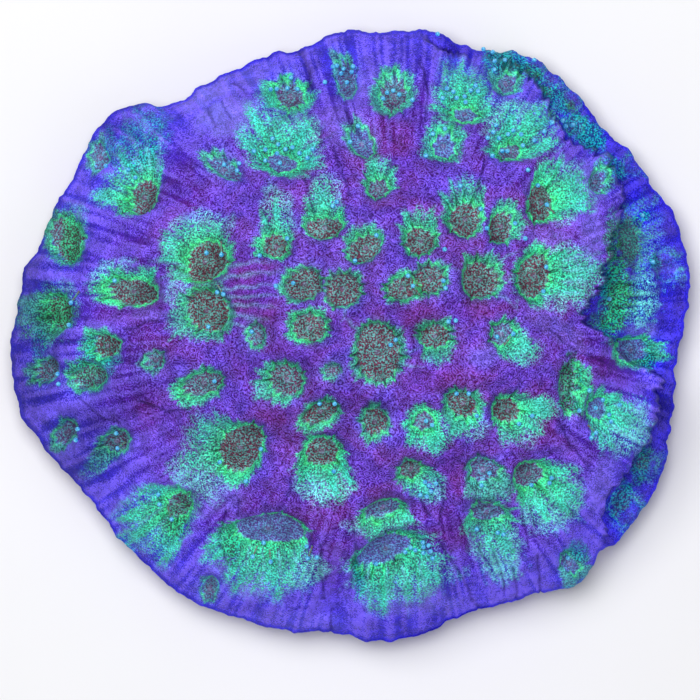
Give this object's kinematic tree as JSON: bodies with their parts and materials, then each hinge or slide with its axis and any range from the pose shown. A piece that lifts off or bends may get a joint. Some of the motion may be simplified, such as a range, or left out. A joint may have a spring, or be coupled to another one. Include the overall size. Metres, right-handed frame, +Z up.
{
  "type": "brain coral colony",
  "caption": "A live brain coral colony: a low dome of violet tissue with sunken green polyps, ridges between them and a scalloped margin, cut off flat below.",
  "frame": {"origin": "on the flat cut where the colony was taken off its rock, under the middle of its plan", "axes": "+Z up out of the cut, +X to the side where the lower tier shows, along the colony's longest side, +Y to the top of the picture that looks straight down on it"},
  "size_m": [0.123, 0.1111, 0.0438],
  "materials": {
    "living_tissue": "moist, finely grained living tissue over limestone skeleton, violet ridges with green polyps"
  },
  "bodies": {
    "root": {"coral_colony": "living_tissue"}
  },
  "joints": []
}
